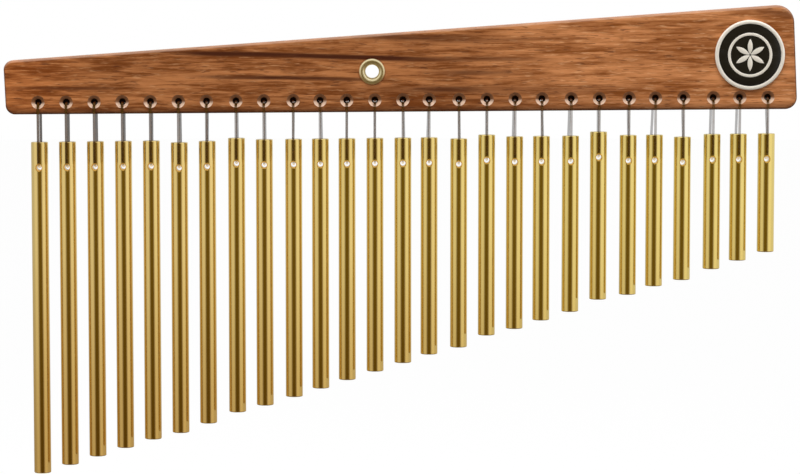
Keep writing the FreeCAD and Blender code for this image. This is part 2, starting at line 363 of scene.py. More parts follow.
# Long dark streaks in the board, the last of them a painted shadow along the tall end's upper corner: start,
# end, height, slope, width and depth of colour.
DARK_STREAKS = (
    (-112.0, 34.0, 10.8, -0.025, 2.4, 1.05),
    (40.0, 95.0, 7.6, 0.0, 2.2, 0.60),
    (-8.0, 58.0, 20.0, 0.0, 2.8, 0.75),
    (42.0, 74.0, -0.5, 0.0, 2.6, 0.75),
    (38.0, 52.0, -10.3, 0.0, 2.6, 1.00),
    (0.0, 150.0, -10.8, 0.0, 4.5, 0.35),
    (-96.0, 0.0, -3.2, -0.012, 1.8, 0.90),
    (-205.0, -150.0, -9.6, 0.0, 1.6, 0.75),
    (30.0, 110.0, 17.0, 0.03, 2.0, 0.35),
    (-60.0, 190.0, -15.5, -0.008, 1.5, 0.25),
    # Painted shadow along the rounded upper corner at the tall end, not a streak of grain.
    (226.0, 270.0, 35.6, -0.12, 3.0, 0.60),
)

ROW_LENGTH = 430.0  # of the row of bars
ROW_LEFT = 0.46  # the share of the row that hangs to the left of the eyelet's axis
DRAWN_SHADE = (0.93, 0.86, 0.74)

CLEAR_PART = (-200.0, -20.0)  # along the row: the cords let more light through to the right
UNDER_BOARD = (-31.0, -29.0)  # up, between the bars' cross holes and the board's holes
OUT_OF_WOOD = (5.2, 6.2)  # out from the cords' middle plane, where a cord leaves the wood
OUT_OF_BAR = (4.4, 5.2)  # and where it leaves a bar
CORD_COVER, CLEARER = 0.66, 0.31  # how much a strand hides, and how much less to the right
# Painted reflection and painted glow of the cord inside a bar's cross hole.
BAR_HOLE_REFLECTED_GOLD = (0.95, 0.72, 0.30)
BAR_HOLE_GLINT = (0.32, 0.31, 0.24)
BLACK = (0.0, 0.0, 0.0)

TURNED_RINGS = 9.0  # radians of the brass's turned rings in a millimetre
ENAMEL_HAZE = (0.4, 0.8)
SCUFFED_BLACK = (0.016, 0.015, 0.015)


def board_wood(board):
    """Reddish-brown open-pored hardwood under satin lacquer, with long dark streaks along the board, painted
    shade on its edges and a painted sheen on its top edge.
    """
    paint = Paint("board_wood")
    x, z = paint.x, paint.z
    wander = paint.noise((70, 40, 30), detail=2.0).swing(7.0)
    fibre = paint.noise((22, 2.4, 2.1), detail=5.0, roughness=0.60, distortion=0.3)
    band = paint.noise((190, 26, 9), detail=3.0, roughness=0.5, shift=(0.4, 0.0, 0.2))
    cloud = paint.noise((60, 40, 40), detail=2.0, shift=(1.7, 0.0, 0.0))
    dashes = paint.noise((8.5, 1.0, 0.8), detail=2.0, roughness=0.5, shift=(0.0, 3.1, 0.0))
    flecks = paint.noise((10, 1.5, 1.3), detail=3.0, roughness=0.6, shift=(5.2, 0.0, 1.0))
    fine = paint.noise((16, 0.8, 0.7), detail=3.0, roughness=0.6, shift=(2.3, 0.0, 4.0))

    # The grain, from dark to light, with less contrast in the tall part.
    tall = x.step(*TALL_PART)
    calm = 1.0 - tall * CALMER_BANDS
    light = (fibre.swing(2.3) + fine.swing(1.1)) * (1.0 - tall * CALMER_GRAIN)
    light = light + band.swing(1.5) * calm
    light = light + cloud.swing(0.7) * calm
    light = (light + NOISE_MIDDLE).step(0.0, 1.0)
    tint = paint.mix(light, tuple(board.dark_wood), tuple(board.light_wood))
    tint = paint.stain(tint, FLECK_TAN, flecks.step(*FLECK_LEVELS), strength=0.50)

    streaks = 0.0
    for start, end, height, slope, width, depth in DARK_STREAKS:
        off = (z - (height + slope * (x - start)) + wander * STREAK_WANDER).size()
        along = (x - start).step(*STREAK_END) * (1.0 - (x - end).step(*STREAK_END))
        streaks = (1.0 - off.step(width * STREAK_CORE, width)) * along * depth + streaks
    tint = paint.stain(tint, STREAK_AND_SHADE_BROWN, streaks * (fibre * 1.4 + 0.3))
    pores = dashes.step(*PORE_LEVELS)
    tint = paint.stain(tint, PORE_BROWN, pores, strength=0.65)

    # The changes along the board, painted shade on the lower band and on the rounded edges, and a painted
    # sheen on the top edge.
    tint = paint.stain(tint, TALL_TINT, tall, blend="MULTIPLY")
    tint = paint.stain(tint, LOW_TINT, 1.0 - x.step(*LOW_PART), blend="MULTIPLY")
    over_edge = z - x * math.tan(board.hang_tilt) - board.lower_edge / MM
    # Painted shade: the wood is darkened along the lower edge.
    tint = paint.stain(tint, EDGE_SHADE_BROWN, 1.0 - over_edge.step(*DARK_BAND), strength=0.6)
    rounded = 1.0 - paint.y.size().step(*ROUNDED_PART)
    facing = paint.add("ShaderNodeNewGeometry").outputs["Normal"]
    up = paint.add("ShaderNodeSeparateXYZ", {}, {0: facing}).outputs["Z"]
    upward = Number(paint, up).step(*FACING_UP)
    # Painted shade on the rounded edges that don't face up.
    tint = paint.stain(tint, EDGE_SHADE_BROWN, rounded * (1.0 - upward), strength=0.75)
    # Painted sheen: the upward-facing top edge is made paler.
    tint = paint.stain(tint, SHEEN_TAN, upward, strength=0.45)
    return paint.finish(
        Base_Color=tint,
        Roughness=0.46 + pores * 0.2 + fibre.swing(0.15),
        Specular_IOR_Level=0.15,
        Normal=paint.bump(fibre * 0.5 - pores * 0.6, distance_mm=0.10, strength=0.6),
    )


def cut_wood(board):
    """The rougher wood that the drill has cut: pale, with painted shade over a hole's upper half and deeper
    painted shade inside.
    """
    paint = Paint("cut_wood")
    above = Number(paint, paint.add("ShaderNodeAttribute", {"attribute_name": ABOVE_HOLE}).outputs["Fac"])
    fibre = paint.noise((14, 1.6, 0.9), detail=4.0)
    deep = 1.0 - paint.y.size().step(*INSIDE_CUT)
    tint = paint.mix((fibre - 0.3) * 1.6, shade(board.bare_wood, 0.80), tuple(board.bare_wood))
    # Painted shade: a hole's upper half is darkened, and its inside darkened more.
    tint = paint.stain(tint, shade(board.light_wood, 0.5), above.step(*UPPER_CUT), strength=0.95)
    tint = paint.stain(tint, shade(board.dark_wood, 0.3), deep, strength=0.95)
    return paint.finish(
        Base_Color=tint,
        Roughness=0.6,
        Specular_IOR_Level=0.15,
        Normal=paint.bump(fibre, distance_mm=0.08, strength=0.6),
    )


def gold(bars):
    """Bright gold anodising on drawn bar: fine lengthwise lines and a tint that shifts along the row."""
    paint = Paint("gold_anodised")
    drawn = paint.noise((0.35, 0.35, 60), detail=3.0, roughness=0.6)
    cloud = paint.noise((9, 9, 42), detail=2.0, shift=(0.0, 0.0, 0.3))
    dye = paint.noise((24, 24, 400), detail=1.0, shift=(0.9, 0.0, 0.0))
    along = (paint.x / ROW_LENGTH + ROW_LEFT) + dye.swing(0.5)
    tint = paint.mix(along.step(0.0, 1.0), tuple(bars.left_gold), tuple(bars.right_gold))
    tint = paint.stain(tint, DRAWN_SHADE, cloud - 0.42, strength=0.8, blend="MULTIPLY")
    return paint.finish(
        Base_Color=tint,
        Metallic=1.0,
        Roughness=0.13 + (drawn - 0.4) * 0.06 + (cloud - 0.4) * 0.06,
        Normal=paint.bump(drawn, distance_mm=0.002, strength=0.2),
    )


def clear_cord(cords):
    """Clear monofilament, a little milky. Inside the board it is darkened with painted shade, and inside a bar
    it takes a painted gold reflection and a painted glow.
    """
    paint = Paint("clear_cord")
    milk = paint.noise((2.0, 2.0, 5.0), detail=2.0)
    tint = paint.mix(milk, shade(cords.tint, 0.8), shade(cords.tint, 1.2))
    clearer = paint.x.step(*CLEAR_PART)
    depth = paint.y.size()
    high = paint.z.step(*UNDER_BOARD)
    in_wood = (1.0 - depth.step(*OUT_OF_WOOD)) * high
    in_bar = (1.0 - depth.step(*OUT_OF_BAR)) * (1.0 - high)
    # Painted shade: the cord is darkened and made less clear inside the board.
    tint = paint.stain(tint, STREAK_AND_SHADE_BROWN, in_wood)
    # Painted reflection and glow: inside a bar the cord is tinted gold and glows.
    tint = paint.stain(tint, BAR_HOLE_REFLECTED_GOLD, in_bar)
    return paint.finish(
        Base_Color=tint,
        Roughness=0.28 + milk.swing(0.1),
        Specular_IOR_Level=0.05,
        Alpha=CORD_COVER + milk.swing(0.1) - clearer * CLEARER + in_bar * 0.2 + in_wood,
        Emission_Color=paint.mix(in_bar, BLACK, BAR_HOLE_GLINT),
        Emission_Strength=1.0,
    )


def brass(eyelet):
    """Pale plated brass, lightly polished, with fine turned rings."""
    paint = Paint("pale_brass")
    wear = paint.noise((3.0, 3.0, 3.0), detail=3.0)
    radius = (paint.x * paint.x + paint.z * paint.z) ** 0.5
    rings = paint.maths("SINE", radius * TURNED_RINGS)
    worn = wear.step(0.35, 0.75)
    tint = paint.stain(tuple(eyelet.brass), shade(eyelet.brass, 0.8), worn, strength=0.5)
    return paint.finish(
        Base_Color=tint,
        Metallic=1.0,
        Roughness=0.30 + (wear - 0.4) * 0.14,
        Normal=paint.bump(rings + wear, distance_mm=0.003, strength=0.4),
    )


def silver(badge):
    """Satin nickel of the badge's rim and rosette."""
    paint = Paint("satin_nickel")
    grain = paint.noise((0.5, 0.5, 0.5), detail=2.0)
    cloud = paint.noise((9.0, 9.0, 9.0), detail=2.0)
    clouded = cloud.step(0.3, 0.8)
    tint = paint.stain(tuple(badge.silver), shade(badge.silver, 0.88), clouded, strength=0.5)
    return paint.finish(
        Base_Color=tint,
        Metallic=0.35,
        Roughness=0.34 + cloud.swing(0.1),
        Normal=paint.bump(grain, distance_mm=0.006, strength=0.3),
    )


def enamel(badge):
    """Black gloss enamel, with a faint haze of fine scuffs."""
    paint = Paint("black_enamel")
    uneven = paint.noise((7.0, 7.0, 4.0), detail=5.0)
    haze = uneven.step(*ENAMEL_HAZE)
    scuffs = paint.noise((14.0, 1.0, 0.35), detail=2.0, distortion=0.6).step(0.62, 0.7)
    return paint.finish(
        Base_Color=paint.stain(tuple(badge.enamel), SCUFFED_BLACK, haze, strength=0.5),
        Roughness=0.12 + haze * 0.10 + scuffs * 0.12,
        Normal=paint.bump(uneven, distance_mm=0.02, strength=0.3),
        Coat_Weight=0.5,
        Coat_Roughness=0.06,
    )


# ---- shapes ----------------------------------------------------------
SHARP = math.radians(32)
PAST_FACE = 1.5  # how far a drill stands off the board's faces, in mm
CORNER_STEPS = 14
EDGE_STEPS = 6


def soften(bm):
    """Smooth faces, with an edge kept crisp where its faces meet at more than the sharp angle."""
    for face in bm.faces:
        face.smooth = True
    for edge in bm.edges:
        edge.smooth = len(edge.link_faces) == 2 and edge.calc_face_angle(0.0) < SHARP


def close_and_turn_out(bm):
    """Joins the points that touch, and turns every face outwards."""
    bmesh.ops.remove_doubles(bm, verts=bm.verts, dist=TOUCHING)
    bmesh.ops.recalc_face_normals(bm, faces=bm.faces)


def bevel(bm, geom, offset, segments, affect="EDGES", clamp=False):
    """A round bevel whose faces take the material beside them."""
    bmesh.ops.bevel(
        bm,
        geom=geom,
        offset=offset,
        affect=affect,
        segments=segments,
        profile=0.5,
        material=-1,
        clamp_overlap=clamp,
    )


def level_edges(bm, axis):
    """The edges whose two ends lie level along an axis, from 0 for X to 2 for Z."""
    return [edge for edge in bm.edges if abs(edge.verts[0].co[axis] - edge.verts[1].co[axis]) < LEVEL]


def points_in(geom):
    """The vertices among the pieces of geometry that an operator has made."""
    return [item for item in geom if isinstance(item, bmesh.types.BMVert)]


def ring_of(bm, profile, centre, steps, close=True):
    """Turns a profile of (radius, y) in millimetres about an axis along Y through the centre."""
    verts = [bm.verts.new(Vector((radius * MM, y * MM, 0.0)) + centre) for radius, y in profile]
    pairs = list(zip(verts, verts[1:]))
    if close:
        pairs.append((verts[-1], verts[0]))
    edges = [bm.edges.new(pair) for pair in pairs]
    bmesh.ops.spin(
        bm, geom=verts + edges, cent=centre, axis=(0, 1, 0), angle=math.tau, steps=steps, use_merge=True
    )


def mesh_from(bm, name):
    """The finished shape as a mesh of this name."""
    mesh = bpy.data.meshes.new(name)
    bm.to_mesh(mesh)
    bm.free()
    return mesh


def add_piece(name, mesh, paints, body, nodes):
    """A finished piece: it rides on its body, takes its finish from a slot and stands for these CAD nodes."""
    for paint in paints:
        mesh.materials.append(paint)
    piece = bpy.data.objects.new(name, mesh)
    bpy.context.scene.collection.objects.link(piece)
    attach(piece, body)
    if nodes:
        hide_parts(*nodes)
    return piece


def drilled(mesh, cutter_bm):
    """The mesh with the cutter taken out of it. The cut faces keep the cutter's material index."""
    cutter = bpy.data.objects.new("cutter", mesh_from(cutter_bm, "cutter"))
    blank = bpy.data.objects.new("blank", mesh)
    for made in (cutter, blank):
        bpy.context.scene.collection.objects.link(made)
    modifier = blank.modifiers.new("Holes", "BOOLEAN")
    modifier.operation = "DIFFERENCE"
    modifier.solver = "EXACT"
    modifier.object = cutter
    depsgraph = bpy.context.evaluated_depsgraph_get()
    bm = bmesh.new()
    bm.from_mesh(bpy.data.meshes.new_from_object(blank.evaluated_get(depsgraph)))
    soften(bm)
    for made in (cutter, blank):
        bpy.data.objects.remove(made)
    return mesh_from(bm, mesh.name)


def drill_profile(radius, half, countersink):
    """Half the outline of a through drill with a countersink at both ends, as (radius, y) in millimetres."""
    end = -half - PAST_FACE
    front = [(0.0, end), (radius + countersink + PAST_FACE, end), (radius, countersink - half)]
    return front + mirrored(front)


def mirrored(profile):
    """The same profile on the other side of the middle plane, so that it goes on from the first."""
    return [(radius, -y) for radius, y in reversed(profile)]


def board_hole(number):
    """Where a bar's cord crosses the board."""
    return PIVOTS[f"loop_{number:02d}_swing"]


def bar_hole(number):
    """Where a bar's cord crosses the bar."""
    return PIVOTS[f"chime_{number:02d}_swing"]


# ---- the board -------------------------------------------------------
class CHIMES_OT_board(bpy.types.Operator):
    """Build the tapered board with its countersunk cord holes"""

    bl_idname = "chimes.board"
    bl_label = "Board"

    hole_steps = 40
    bore_steps = 32
    barrel_steps = 48
    past_web = 1.0  # how far the drill of a fine bore stands off its web, in mm
    barrel_break = 0.05  # the broken edge of the eyelet's hole, in mm

    def execute(self, context):
        board = context.scene.chimes_board
        mesh = self.blank(board)
        # The fine drills reach into the holes of the wide ones, so they cut after them.
        for drills in self.drills(board):
            mesh = drilled(mesh, drills)
        self.measure_from_holes(board, mesh)
        paints = (board_wood(board), cut_wood(board))
        piece = add_piece("hardwood_board", mesh, paints, "hanger", ["wood_board"])
        modifier = piece.modifiers.new("Normals", "WEIGHTED_NORMAL")
        modifier.keep_sharp = True
        return {"FINISHED"}

    def blank(self, board):
        """The board before drilling: tapered, with rounded corners and sanded edges."""
        lean = math.tan(board.end_lean)
        rise = (board.tall_height - board.low_height) / (board.tall_end - board.low_end)
        low_top, tall_top = (height / (1 + lean * rise) for height in (board.low_height, board.tall_height))
        low, tall, bottom = board.low_end, board.tall_end, board.lower_edge
        corners = [
            (Vector((low, FRONT_Y, bottom)), board.low_corner),
            (Vector((tall, FRONT_Y, bottom)), board.tall_bottom_corner),
            (Vector((tall - lean * tall_top, FRONT_Y, bottom + tall_top)), board.tall_top_corner),
            (Vector((low - lean * low_top, FRONT_Y, bottom + low_top)), board.low_corner),
        ]
        bm = bmesh.new()
        bm.faces.new([bm.verts.new(place) for place, _ in corners])
        for index, (place, radius) in enumerate(corners):
            before = (corners[index - 1][0] - place).normalized()
            after = (corners[(index + 1) % len(corners)][0] - place).normalized()
            offset = radius / math.tan(before.angle(after) / 2)
            corner = min(bm.verts, key=lambda vert: (vert.co - place).length)
            bevel(bm, [corner], offset, CORNER_STEPS, affect="VERTICES")
        made = bmesh.ops.extrude_face_region(bm, geom=list(bm.faces))["geom"]
        bmesh.ops.translate(bm, verts=points_in(made), vec=(0, BACK_Y - FRONT_Y, 0))
        close_and_turn_out(bm)
        bevel(bm, level_edges(bm, axis=1), board.edge_radius, EDGE_STEPS, clamp=True)
        tilt = Matrix.Rotation(-board.hang_tilt, 3, "Y")
        bmesh.ops.rotate(bm, verts=bm.verts, cent=(0, 0, 0), matrix=tilt)
        soften(bm)
        return mesh_from(bm, "wood_board")

    def drills(self, board):
        """The wide drills for both ends of the cord holes and for the eyelet, and the fine ones between."""
        half = BACK_Y / MM
        hole, bore = board.hole_diameter / 2 / MM, board.bore / 2 / MM
        web = board.web / 2 / MM
        fine_end = web + self.past_web
        front = drill_profile(hole, half, board.countersink / MM)[:3] + [(hole, -web), (0.0, -web)]
        back = [(radius, -y) for radius, y in front]
        fine = [(0.0, -fine_end), (bore, -fine_end), (bore, fine_end), (0.0, fine_end)]
        wide_bm, fine_bm = bmesh.new(), bmesh.new()
        for number in BAR_NUMBERS:
            cord = board_hole(number)
            for profile in (front, back):
                ring_of(wide_bm, profile, cord + Vector((0, 0, board.hole_over_cord)), self.hole_steps)
            ring_of(fine_bm, fine, cord, self.bore_steps)
        for bm in (wide_bm, fine_bm):
            close_and_turn_out(bm)
            for face in bm.faces:
                face.material_index = 1
        barrel = drill_profile(board.barrel_hole / 2 / MM, half, self.barrel_break)
        ring_of(wide_bm, barrel, Vector(), self.barrel_steps)
        close_and_turn_out(wide_bm)
        soften(wide_bm)
        soften(fine_bm)
        return wide_bm, fine_bm

    def measure_from_holes(self, board, mesh):
        """Stores how far each point lies over the middle of the cord hole that is nearest to it."""
        holes = [board_hole(number) for number in BAR_NUMBERS]
        above = mesh.attributes.new(ABOVE_HOLE, "FLOAT", "POINT")
        for vertex in mesh.vertices:
            hole = min(holes, key=lambda place: abs(place.x - vertex.co.x))
            above.data[vertex.index].value = (vertex.co.z - hole.z - board.hole_over_cord) / MM


# ---- the bars --------------------------------------------------------
class CHIMES_OT_bars(bpy.types.Operator):
    """Build the gold bars with their chamfered ends and cross-drilled, countersunk holes"""

    bl_idname = "chimes.bars"
    bl_label = "Bars"

    chamfer_steps = 2
    hole_steps = 40
    past_bar = 1.0  # how far the drill stands off a bar's side, in mm
    # A face of the bar's round side has a normal that rises less than this, and that points outwards at
    # least this straight.
    upright, outward = 0.02, 0.99

    def execute(self, context):
        bars = context.scene.chimes_bars
        paint = gold(bars)
        for number in BAR_NUMBERS:
            node = f"bar_{number:02d}"
            low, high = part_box(node)
            mesh = drilled(self.blank(bars, node, low, high), self.drill(bars, low, high))
            self.shade_round(mesh, (low + high) / 2)
            add_piece(f"gold_{node}", mesh, (paint,), f"chime_{number:02d}", [node])
        return {"FINISHED"}

    def blank(self, bars, name, low, high):
        """A round bar with chamfered ends, before drilling."""
        radius = (high.x - low.x) / 2
        bm = bmesh.new()
        bmesh.ops.create_cone(
            bm,
            cap_ends=True,
            segments=bars.sides,
            radius1=radius,
            radius2=radius,
            depth=high.z - low.z,
            matrix=Matrix.Translation((low + high) / 2),
        )
        bevel(bm, level_edges(bm, axis=2), bars.end_chamfer, self.chamfer_steps)
        soften(bm)
        return mesh_from(bm, f"{name}_blank")

    def drill(self, bars, low, high):
        """The drill for the cross hole: a straight hole that opens in a rounded lip on both sides."""
        middle = (low + high) / 2
        half = (high.x - low.x) / 2 / MM
        hole, sink = bars.hole_diameter / 2 / MM, bars.countersink / MM
        # From beyond the bar's side down the lip to the straight hole.
        lip = [
            (0.0, -half - self.past_bar),
            (hole + sink + 0.9, -half - self.past_bar),
            (hole + sink * 0.9, -half + 0.12),
            (hole + sink * 0.35, -half + sink * 0.75),
            (hole, -half + sink * 1.5),
        ]
        bm = bmesh.new()
        centre = Vector((middle.x, 0.0, high.z - bars.hole_below_top))
        ring_of(bm, lip + mirrored(lip), centre, self.hole_steps)
        close_and_turn_out(bm)
        soften(bm)
        return bm

    def shade_round(self, mesh, middle):
        """Gives the bar's side the true round's normals, also where its flats are cut by the hole."""
        # A corner that is left at zero keeps its own normal.
        normals = [Vector()] * len(mesh.loops)
        for polygon in mesh.polygons:
            spoke = ((polygon.center - middle) * Vector((1, 1, 0))).normalized()
            if abs(polygon.normal.z) < self.upright and polygon.normal.dot(spoke) > self.outward:
                for index in polygon.loop_indices:
                    place = mesh.vertices[mesh.loops[index].vertex_index].co - middle
                    normals[index] = Vector((place.x, place.y, 0)).normalized()
        mesh.normals_split_custom_set(normals)


# ---- the cords -------------------------------------------------------
class CHIMES_OT_cords(bpy.types.Operator):
    """Hang every bar on its loop of cord, tied with a barrel knot behind the bar's top"""

    bl_idname = "chimes.cords"
    bl_label = "Cords"

    splay_turn = 2.4  # radians from one knot to the next, so that neighbours hang to different sides
    knot_start = 200  # degrees round the strand, where the first knot's coils start
    knot_turn = 37  # degrees from one knot's start to the next one's
    knot_kinds = 5  # knots after which the starts repeat
    coil_corners = 8

    def execute(self, context):
        cords = context.scene.chimes_cords
        paint = clear_cord(cords)
        for number in BAR_NUMBERS:
            points = self.route(cords, number)
            curve = bpy.data.curves.new(f"cord_loop_{number:02d}", "CURVE")
            curve.dimensions = "3D"
            curve.bevel_depth = cords.diameter / 2
            curve.bevel_resolution = 3
            curve.resolution_u = 5
            curve.use_fill_caps = True
            spline = curve.splines.new("NURBS")
            spline.points.add(len(points) - 1)
            for point, place in zip(spline.points, points):
                point.co = (*place, 1.0)
            # Set once the points are there: a spline lowers an order that it has too few points for.
            spline.order_u = 3
            spline.use_endpoint_u = True
            add_piece(curve.name, curve, (paint,), f"loop_{number:02d}", [f"cord_{number:02d}"])
        return {"FINISHED"}

    def route(self, cords, number):
        """From one cut end down the knot, through the bar, up and over the wood and back through the knot."""
        wood, hole = board_hole(number), bar_hole(number)
        bar_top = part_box(f"bar_{number:02d}")[1]
        x = wood.x
        splay = cords.splay * math.sin(self.splay_turn * number) * number / BAR_COUNT
        beside, aside = x + splay / 2, x + splay
        wood_y = BACK_Y + cords.off_wood
        bar_y = bar_top.y + cords.off_bar
        knot_y = bar_top.y + cords.knot_off_bar
        over, under = wood.z + cords.lift, hole.z - cords.lift
        top = bar_top.z - cords.knot_below_top
        foot = top - cords.knot_length
        keep = cords.straight
        start = math.radians(self.knot_start + self.knot_turn * (number % self.knot_kinds))
        return self.knot(cords, Vector((aside, knot_y, 0)), top, foot, start) + [
            Vector((x, bar_y, under)),
            Vector((x, -bar_y, under)),
            Vector((x, -bar_y, under + keep)),
            Vector((x, -wood_y, over - keep)),
            Vector((x, -wood_y, over)),
            Vector((x, 0.0, over)),
            Vector((x, cords.diameter, over)),
            Vector((beside, wood_y, over)),
            Vector((beside, wood_y, over - keep)),
            Vector((aside, knot_y, top + cords.diameter)),
            Vector((aside, knot_y, foot)),
            Vector((aside - 0.2 * cords.tag, knot_y + 0.3 * cords.tag, foot - cords.tag)),
        ]

    def knot(self, cords, centre, top, foot, start):
        """A cut end at the knot's top, and coils of cord down to its foot."""
        coil = cords.diameter
        count = round(cords.turns * self.coil_corners)
        first, last = top - coil / 2, foot + coil / 2
        points = []
        for step in range(count + 1):
            turn = start + math.tau * step / self.coil_corners
            height = first + (last - first) * step / count
            points.append(
                Vector((centre.x + coil * math.cos(turn), centre.y + coil * math.sin(turn), height))
            )
        # The cut end leaves the first coil backwards and upwards, and a little away from the strand.
        out = (points[0] - centre) * Vector((1, 1, 0))
        side = Vector((out.y, -out.x, 0)).normalized()
        tag = points[0] + side * -cords.tag * 0.5
        tag = tag + Vector((0, 0, cords.tag * 0.7)) + out.normalized() * 0.4 * MM
        return [tag] + points


# ---- the eyelet ------------------------------------------------------
class CHIMES_OT_eyelet(bpy.types.Operator):
    """Build the flanged eyelet and roll over its far end"""

    bl_idname = "chimes.eyelet"
    bl_label = "Eyelet"

    turned_steps = 96
    edge_steps = 2

    def execute(self, context):
        eyelet = context.scene.chimes_eyelet
        bm = bmesh.new()
        ring_of(bm, self.profile(eyelet), Vector(), self.turned_steps)
        close_and_turn_out(bm)
        bevel(bm, level_edges(bm, axis=1), eyelet.softening, self.edge_steps)
        soften(bm)
        mesh = mesh_from(bm, "stand_eyelet")
        add_piece("brass_eyelet", mesh, (brass(eyelet),), "hanger", ["stand_eyelet"])
        return {"FINISHED"}

    def profile(self, eyelet):
        """Half its outline as (radius, y) in millimetres."""
        bore = eyelet.bore / 2 / MM
        outside = bore + eyelet.wall / MM
        flange, roll = eyelet.flange / 2 / MM, eyelet.roll / 2 / MM
        up, back = eyelet.flange_height / MM, eyelet.roll_height / MM
        front, far = FRONT_Y / MM, BACK_Y / MM
        crowned_flange = [
            (outside, front),
            (flange - 0.25, front),
            (flange, front - up * 0.22),
            (flange - 0.25, front - up * 0.55),
            (flange - 0.95, front - up * 0.92),
            (flange - 1.75, front - up),
            (flange - 2.55, front - up * 0.86),
        ]
        barrel = [
            (bore + 0.45, front - up * 0.42),
            (bore, front + 0.3),
            (bore, far + 0.2),
            (bore + 0.35, far + back * 0.7),
        ]
        rolled_end = [
            (bore + 1.1, far + back),
            (roll - 0.7, far + back * 0.8),
            (roll, far + back * 0.25),
            (roll - 0.3, far),
            (outside, far),
        ]
        return crowned_flange + barrel + rolled_end


# ---- the badge -------------------------------------------------------
class CHIMES_OT_badge(bpy.types.Operator):
    """Build the round badge: a bright rim, black enamel and a petalled rosette"""

    bl_idname = "chimes.badge"
    bl_label = "Badge"

    disc_steps = 160
    ring_steps = 128
    arc_steps = 16
    edge_steps = 2
    petal_length, petal_width = 0.96, 1.15  # against those of two arcs struck with a compass
    petal_gap = 2.2  # from the outside of the rosette's ring to a petal's tip, in widths of the ring

    def execute(self, context):
        badge = context.scene.chimes_badge
        metal = silver(badge)
        low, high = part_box("badge_plate")
        face_low, face_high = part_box("badge_face")
        centre = Vector(((low.x + high.x) / 2, 0.0, (low.z + high.z) / 2))
        edge = (high.x - low.x) / 2 / MM
        inner = edge - badge.rim / MM
        back, front = high.y / MM, low.y / MM
        plate, face = face_high.y / MM, face_low.y / MM
        rim = [
            (0.0, back),
            (edge, back),
            (edge, plate + 0.1),
            (edge - 0.12, (plate + front) / 2),
            (edge - 0.45, front + 0.12),
            (edge - 0.9, front),
            (inner + 0.6, front),
            (inner + 0.2, front + 0.15),
            (inner, plate + 0.05),
            (0.0, plate + 0.05),
        ]
        dome = [
            (0.0, plate),
            (inner, plate),
            (inner, face + 0.22),
            (inner - 0.6, face + 0.1),
            (inner * 0.7, face + 0.03),
            (inner * 0.35, face + 0.005),
            (0.0, face),
        ]
        self.add_disc("badge_rim", rim, centre, metal, "badge_plate", "badge_plate")
        self.add_disc("badge_enamel", dome, centre, enamel(badge), "badge_enamel", "badge_face")
        self.add_rosette(badge, centre + Vector((0, face * MM + badge.root, 0)), metal)
        return {"FINISHED"}

    def add_disc(self, name, profile, centre, paint, slot, node):
        """A round plate, turned from its profile."""
        bm = bmesh.new()
        ring_of(bm, profile, centre, self.disc_steps, close=False)
        close_and_turn_out(bm)
        soften(bm)
        add_piece(name, mesh_from(bm, name), (paint,), "hanger", [node])

    def add_rosette(self, badge, place, metal):
        """Petals struck with a compass, inside a thin ring, in low relief on the enamel."""
        step = math.tau / badge.petals
        bm = bmesh.new()
        self.add_petal(bm, badge)
        petal = list(bm.verts) + list(bm.edges) + list(bm.faces)
        for turn in range(1, badge.petals):
            copy = points_in(bmesh.ops.duplicate(bm, geom=petal)["geom"])
            bmesh.ops.rotate(bm, verts=copy, matrix=Matrix.Rotation(turn * step, 3, "Y"))
        bmesh.ops.rotate(bm, verts=bm.verts, matrix=Matrix.Rotation(step / 2, 3, "Y"))
        outer, inner = badge.rosette / 2 / MM, (badge.rosette / 2 - badge.line) / MM
        top = -(badge.relief + badge.root) / MM
        ring = [
            (inner, 0.0),
            (outer, 0.0),
            (outer, top + 0.06),
            (outer - 0.1, top),
            (inner + 0.1, top),
            (inner, top + 0.06),
        ]
        ring_of(bm, ring, Vector(), self.ring_steps)
        close_and_turn_out(bm)
        bmesh.ops.translate(bm, verts=bm.verts, vec=place)
        soften(bm)
        add_piece("badge_rosette", mesh_from(bm, "badge_rosette"), (metal,), "hanger", [])

    def add_petal(self, bm, badge):
        """One petal between two arcs of the compass, along X from the rosette's middle."""
        reach = badge.rosette / 2 - self.petal_gap * badge.line
        # Both arcs are a sixth of a circle whose radius is the reach.
        for side in (1, -1):
            bmesh.ops.spin(
                bm,
                geom=[bm.verts.new((0, 0, 0))],
                cent=(reach / 2, 0, side * reach * math.sqrt(3) / 2),
                axis=(0, -side, 0),
                angle=math.pi / 3,
                steps=self.arc_steps,
                use_merge=False,
            )
        bmesh.ops.remove_doubles(bm, verts=bm.verts, dist=LEVEL)
        bmesh.ops.contextual_create(bm, geom=bm.edges)
        bmesh.ops.scale(bm, verts=bm.verts, vec=(self.petal_length, 1, self.petal_width))
        bmesh.ops.translate(bm, verts=bm.verts, vec=((1 - self.petal_length) * reach, 0, 0))
        made = bmesh.ops.extrude_face_region(bm, geom=list(bm.faces))["geom"]
        bmesh.ops.translate(bm, verts=points_in(made), vec=(0, -badge.relief - badge.root, 0))
        bmesh.ops.recalc_face_normals(bm, faces=bm.faces)
        raised = [edge for edge in bm.edges if all(vert.co.y < -badge.root for vert in edge.verts)]
        bevel(bm, raised, badge.softening, self.edge_steps)


# ---- camera and studio -----------------------------------------------
SENSOR_WIDTH = 36.0  # mm
NEAR_CLIP = 0.05  # metres

# Soft lights: name, place, what it points at and size in metres, and power in watts.
LIGHTS = (
    ("top_softbox", (0.1, -0.75, 1.25), (0, 0, -0.05), (2.0, 0.8), 29.0),
    ("left_softbox", (-1.35, -1.1, 0.25), (0, 0, -0.1), (0.8, 1.4), 2.6),
    ("right_softbox", (1.35, -1.1, 0.25), (0, 0, -0.1), (0.8, 1.4), 2.6),
    ("back_softbox", (0.0, 1.6, 0.9), (0, 0, -0.1), (2.0, 1.0), 7.0),
)

FLOOR_RADIUS = 9.0  # metres
FLOOR_STEPS = 96
FLOOR_GREY = (0.5, 0.5, 0.5, 1.0)
FLOOR_GLOW = 1.08
FLOOR_SHOWN = 0.9  # the share of that glow in the floor that the camera sees

WALL_RADIUS, WALL_HEIGHT = 2.6, 2.4  # metres
WALL_STEPS = 128
